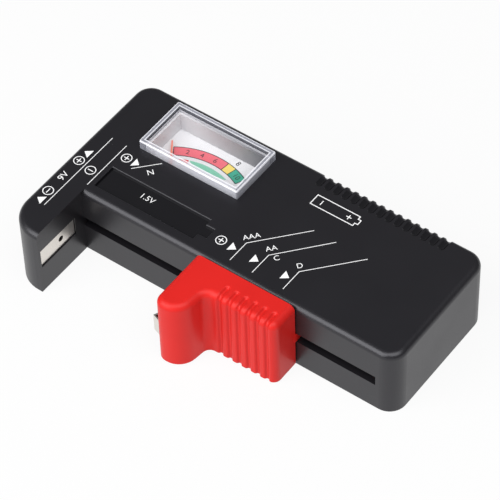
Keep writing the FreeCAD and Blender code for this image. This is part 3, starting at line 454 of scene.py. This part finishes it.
class TesterLook(bpy.types.PropertyGroup):
    """Colours and sizes that a user may change."""

    case_colour: bpy.props.FloatVectorProperty(
        name="Case", description="Colour of the moulded case", subtype="COLOR", size=3,
        min=0.0, max=1.0, default=(0.0085, 0.0079, 0.0096))
    slider_colour: bpy.props.FloatVectorProperty(
        name="Slider", description="Colour of the sliding grip", subtype="COLOR", size=3,
        min=0.0, max=1.0, default=(0.57, 0.014, 0.011))
    print_colour: bpy.props.FloatVectorProperty(
        name="Print", description="Colour of the marks on the top", subtype="COLOR", size=3,
        min=0.0, max=1.0, default=(0.86, 0.86, 0.86))
    stroke_width: bpy.props.FloatProperty(
        name="Line width", description="Width of the printed lines", default=0.0002,
        min=0.0001, max=0.001, subtype="DISTANCE", unit="LENGTH")


def look():
    """The colours and sizes that are set in the sidebar."""
    return bpy.context.scene.tester_look


def dress(material, *names):
    """Give CAD nodes one finish."""
    for name in names:
        slots = NODES[name].data.materials
        slots.clear()
        slots.append(material)


class TESTER_OT_case(bpy.types.Operator):
    """Finish the moulded case, its cover and the clear window"""

    bl_idname = "tester.case"
    bl_label = "Case and window"

    def execute(self, context):
        colour = tuple(look().case_colour)
        # Boxes of painted shade, with a polish, on the recess floor and the back grooves
        shade_and_polish = [[*on_case([corner], low), *on_case([opposite], high)]
                    for corner, opposite, low, high in SHADE_AND_POLISH_BOXES]
        dress(moulded("black_case", colour, 0.35, 0.000004, shade_and_polish, Specular_IOR_Level=0.55,
                      Specular_Tint=(0.94, 0.94, 1.0, 1.0)), "upper_case")
        dress(moulded("black_cover", scaled(colour, 1.15), 0.5, 0.00002), "bottom_cover")
        dress(clear_plastic("clear_window", WINDOW_LOW, WINDOW_HIGH, WINDOW_TOP, WINDOW_WALL),
              "meter_window")
        return {"FINISHED"}


class TESTER_OT_contacts(bpy.types.Operator):
    """Finish the contacts, the screws and the other bare metal"""

    bl_idname = "tester.contacts"
    bl_label = "Contacts and fasteners"

    def execute(self, context):
        dress(plated("nickel_strip", (0.78, 0.74, 0.69), 0.3, (1.0, 1.0, 0.08)),
              "negative_contact", "slider_contact", "end_terminal_negative",
              "end_terminal_positive", "contact_rail")
        dress(plated("zinc_screw", (0.62, 0.62, 0.64), 0.32), "cover_screws", "slider_screws",
              "dial_screws", "bridge_screws", "board_screws", "lower_arbor", "upper_arbor")
        dress(plated("turned_brass", (0.72, 0.53, 0.22), 0.3), "rail_rivets", "bearing_bridge",
              "core_bracket", "spring_stud", "counterweight", "spring_collet")
        dress(plated("spring_bronze", (0.64, 0.42, 0.22), 0.28, (0.1, 1.0, 1.0)),
              "hairspring", "slider_wiper")
        return {"FINISHED"}


class TESTER_OT_slider(bpy.types.Operator):
    """Finish the sliding grip"""

    bl_idname = "tester.slider"
    bl_label = "Slider"

    def execute(self, context):
        dress(moulded("red_grip", tuple(look().slider_colour), 0.4, 0.000004,
                      Specular_IOR_Level=0.22), "slider_grip")
        return {"FINISHED"}


class TESTER_OT_works(bpy.types.Operator):
    """Finish the meter's works, the circuit board and the wires"""

    bl_idname = "tester.works"
    bl_label = "Meter works and wiring"

    def execute(self, context):
        dress(moulded("frame_plastic", (0.05, 0.05, 0.055), 0.55, 0.00002),
              "meter_frame", "slider_retainer")
        dress(plated("soft_iron", (0.32, 0.32, 0.33), 0.45), "yoke_ring")
        dress(plated("sintered_magnet", (0.2, 0.2, 0.22), 0.5), "core_magnet")
        dress(moulded("red_jewel", (0.6, 0.1, 0.18), 0.1, 0.0, Coat_Weight=0.6),
              "lower_jewel", "upper_jewel")
        dress(wound("copper_coil", (0.7, 0.32, 0.16)), "moving_coil")
        dress(moulded("phenolic_board", (0.42, 0.3, 0.14), 0.5, 0.00002), "circuit_board")
        brown, black = (0.15, 0.05, 0.02), (0.02, 0.02, 0.02)
        red, gold = (0.4, 0.02, 0.02), (0.55, 0.4, 0.08)
        dress(banded("load_lacquer", (0.6, 0.48, 0.32), [brown, black, black, gold], 0.014, 0.01),
              "load_resistor")
        dress(banded("series_lacquer", (0.55, 0.45, 0.32), [red, red, brown, gold], 0.0153, 0.0065),
              "series_resistor")
        dress(moulded("black_insulation", (0.02, 0.02, 0.02), 0.45, 0.00001),
              "negative_wire", "terminal_link")
        dress(moulded("red_insulation", (0.5, 0.02, 0.02), 0.45, 0.00001),
              "positive_wire", "rail_wire")
        dress(moulded("yellow_insulation", (0.7, 0.5, 0.05), 0.45, 0.00001), "meter_wires")
        return {"FINISHED"}


class TESTER_OT_top_print(bpy.types.Operator):
    """Print the polarity signs, arrows and stop lines on the top"""

    bl_idname = "tester.top_print"
    bl_label = "Marks on the top"

    def execute(self, context):
        width = look().stroke_width / MM
        white = ink("white_print", tuple(look().print_colour))
        marks = Sheet(TOP_Z + INK_LIFT)
        for path in STOP_LINES:
            marks.stroke(path, width)
        for x, y, arms in SIGNS:
            marks.band(np.array([x, y]), *SIGN_RING, 0.0, 360.0)
            marks.sign(x, y, SIGN_HALF, SIGN_BAR, arms)
        for base, y, apex in ARROWS:
            half = math.copysign(ARROW_HALF, apex - base)
            marks.polygon([(base, y - half), (apex, y), (base, y + half)])
        self.cell_sign(marks, *CELL_SIGN_PLACE, SIGN_BAR)
        marks.piece("top_marks", white)
        letters = Sheet(TOP_Z + INK_LIFT)
        letters.words("9V", 2.85, (3.3, 1.5), 90.0)
        letters.words("N", 2.6, (21.4, 15.6), SLOPE)
        for text, corner, start, rise in SIZE_LETTERS:
            place = np.array(corner) + ALONG * start + ACROSS * rise
            letters.words(text, 2.35, place, SLOPE, "LEFT")
        letters.piece("size_letters", white)
        recess = Sheet(RECESS_Z + INK_LIFT)
        recess.words("1.5V", 2.5, (25.8, 8.4), 0.0)
        recess.piece("recess_letters", white)
        return {"FINISHED"}

    def cell_sign(self, marks, x, y, width):
        """A plain outline of a cell, with its two polarity signs."""
        length, height, nub, overlap = 13.4, 3.6, 0.9, 0.05
        seam, inset, half = x + 1.0, 2.4, 0.8
        low, high = y + height * 0.28, y + height * 0.72
        end, middle = x + length, y + height / 2
        marks.stroke([(seam, y), (end, y), (end, low), (end + nub, low), (end + nub, high),
                      (end, high), (end, y + height), (x, y + height), (x, y),
                      (seam + overlap, y)], width)
        marks.sign(x + inset, middle, half, width, "y")
        marks.sign(end - inset, middle, half, width, "xy")


class TESTER_OT_dial(bpy.types.Operator):
    """Print the dial's colour bands and numbers, and paint its plate and pointer"""

    bl_idname = "tester.dial"
    bl_label = "Dial"

    def execute(self, context):
        dress(ink("dial_white", (0.82, 0.82, 0.84), 0.55), "dial_plate")
        # The liner's painted shade: pale at the window's left end, dark at its right end.
        dress(painted_shade_along_x("pale_liner", (0.7, 0.69, 0.71), (0.07, 0.07, 0.085),
                    WINDOW_LOW[0], WINDOW_HIGH[0]), "dial_liner")
        dress(ink("pointer_paint", (0.92, 0.26, 0.18), 0.45), "pointer")
        z = DIAL_Z + INK_LIFT
        for name, colour, start, end in SCALE_BANDS:
            band = Sheet(z)
            band.band(PIVOT, SCALE_LOW, SCALE_HIGH, start, end)
            band.piece(name, ink(name, colour))
        self.scale_lines(z + INK_LIFT)
        self.wedges(z)
        return {"FINISHED"}

    def scale_lines(self, z):
        """Thin lines round the bands and between them, and the numbers."""
        lines, half, tick, size = Sheet(z), 0.11, 0.2, 2.2
        for radius in (SCALE_LOW, SCALE_HIGH):
            lines.band(PIVOT, radius - half, radius + half, SCALE_START, SCALE_END, 96)
        for angle in (SCALE_START, YELLOW_START, GREEN_START, SCALE_END):
            lines.stroke([PIVOT + way(angle) * SCALE_LOW, PIVOT + way(angle) * SCALE_HIGH], tick)
        for text, angle, radius in SCALE_NUMBERS:
            lines.words(text, size, PIVOT + radius * way(angle), angle - 90.0)
        lines.piece("dial_lines", ink("dial_black", (0.03, 0.03, 0.035)))

    def wedges(self, z):
        """Two sectors below the bands, cut inwards from one radius.

        At a share s of its turn the lens is sin(pi * s ** 0.85) ** 0.6 of its full depth, and
        the wedge is s of its own.
        """
        edge, share = 18.4, np.linspace(0.0, 1.0, 49)
        swell = np.sin(np.pi * share ** 0.85) ** 0.6
        for name, paint, colour, depth, high, start, end in (
                ("green_wedge", "wedge_green", (0.26, 0.64, 0.47), 1.75 * swell, 18.45, 109.0, 71.0),
                ("red_wedge", "wedge_red", (0.8, 0.12, 0.12), 1.2 * share, 18.5, 119.0, 110.0)):
            sector = Sheet(z)
            sector.band(PIVOT, edge - depth, high, start, end)
            sector.piece(name, ink(paint, colour))


class TESTER_OT_stage(bpy.types.Operator):
    """Set the floor, the lights and the camera"""

    bl_idname = "tester.stage"
    bl_label = "Stage"

    def execute(self, context):
        scene = context.scene
        scene.view_settings.view_transform = "Standard"
        self.floor(scene)
        self.world(scene)
        for lamp in LAMPS:
            self.lamp(scene, *lamp)
        self.camera(scene)
        return {"FINISHED"}

    def seen(self, finish):
        """1 where a ray comes from the camera, a reflection or through clear plastic."""
        rays = finish.tree.nodes.new("ShaderNodeLightPath").outputs
        camera, gloss, clear = [Value(finish, rays["Is %s Ray" % kind])
                                for kind in ("Camera", "Glossy", "Transmission")]
        return finish.node("ShaderNodeMath", {"operation": "MINIMUM"}, {
            0: camera + gloss + clear, 1: 1.0})

    def floor(self, scene):
        """A wide pale sheet just under the tester, mostly white of its own accord where it is seen."""
        half, drop, glow_share = 3.0, -0.00005, 0.9
        finish = Finish("pale_floor", (0.65, 0.65, 0.65), 0.9, Specular_IOR_Level=0.1)
        glow = finish.node("ShaderNodeEmission", inputs={
            "Color": (1.0, 1.0, 1.0, 1.0), "Strength": 1.0})
        finish.mix(self.seen(finish) * glow_share, finish.surface(), glow)
        mesh = bpy.data.meshes.new("floor")
        corners = [(x * half, y * half, drop) for x, y in ((-1, -1), (1, -1), (1, 1), (-1, 1))]
        mesh.from_pydata(corners, [], [(0, 1, 2, 3)])
        mesh.materials.append(finish.material)
        floor = bpy.data.objects.new("floor", mesh)
        scene.collection.objects.link(floor)

    def world(self, scene):
        """An even grey light from all round."""
        world = bpy.data.worlds.new("studio")
        scene.world = world
        world.use_nodes = True
        background = world.node_tree.nodes["Background"].inputs
        background["Color"].default_value = (0.6, 0.61, 0.63, 1.0)
        background["Strength"].default_value = 0.35

    def lamp(self, scene, name, place, size, power):
        """A square soft light that faces the tester."""
        data = bpy.data.lights.new(name, "AREA")
        data.size, data.energy = size, power
        lamp = bpy.data.objects.new(name, data)
        place = Vector(place)
        lamp.matrix_world = Matrix.LocRotScale(place, (-place).to_track_quat("-Z", "Y"), None)
        scene.collection.objects.link(lamp)

    def camera(self, scene):
        """A long lens; the matrix's columns are its right, up and backward ways, and its place."""
        place = (0.29207, -0.38505, 0.57109)
        right, up = (0.807, 0.5901, -0.023), (-0.4357, 0.6212, 0.6514)
        away = (0.3987, -0.5156, 0.7584)
        data = bpy.data.cameras.new("camera")
        data.sensor_width, data.lens = 36.0, 203.1
        data.clip_start, data.clip_end = 0.01, 10.0
        camera = bpy.data.objects.new("camera", data)
        camera.matrix_world = Matrix([*zip(right, up, away, place), (0, 0, 0, 1)])
        scene.collection.objects.link(camera)
        scene.camera = camera


PIECES = (TESTER_OT_case, TESTER_OT_contacts, TESTER_OT_slider, TESTER_OT_works,
          TESTER_OT_top_print, TESTER_OT_dial, TESTER_OT_stage)


class TESTER_PT_panel(bpy.types.Panel):
    """Lists the tester's pieces in the sidebar"""

    bl_idname = "TESTER_PT_panel"
    bl_label = "Battery Tester"
    bl_space_type, bl_region_type, bl_category = "VIEW_3D", "UI", "Tester"

    def draw(self, context):
        for name in TesterLook.__annotations__:
            self.layout.prop(context.scene.tester_look, name)
        for piece in PIECES:
            self.layout.operator(piece.bl_idname)


CLASSES = (TesterLook, *PIECES, TESTER_PT_panel)


def register():
    for item in CLASSES:
        bpy.utils.register_class(item)
    bpy.types.Scene.tester_look = bpy.props.PointerProperty(type=TesterLook)


def unregister():
    del bpy.types.Scene.tester_look
    for item in reversed(CLASSES):
        bpy.utils.unregister_class(item)


def main():
    """Make the pieces in order."""
    register()
    for piece in PIECES:
        group, name = piece.bl_idname.split(".")
        getattr(getattr(bpy.ops, group), name)()


if __name__ == "__main__":
    main()
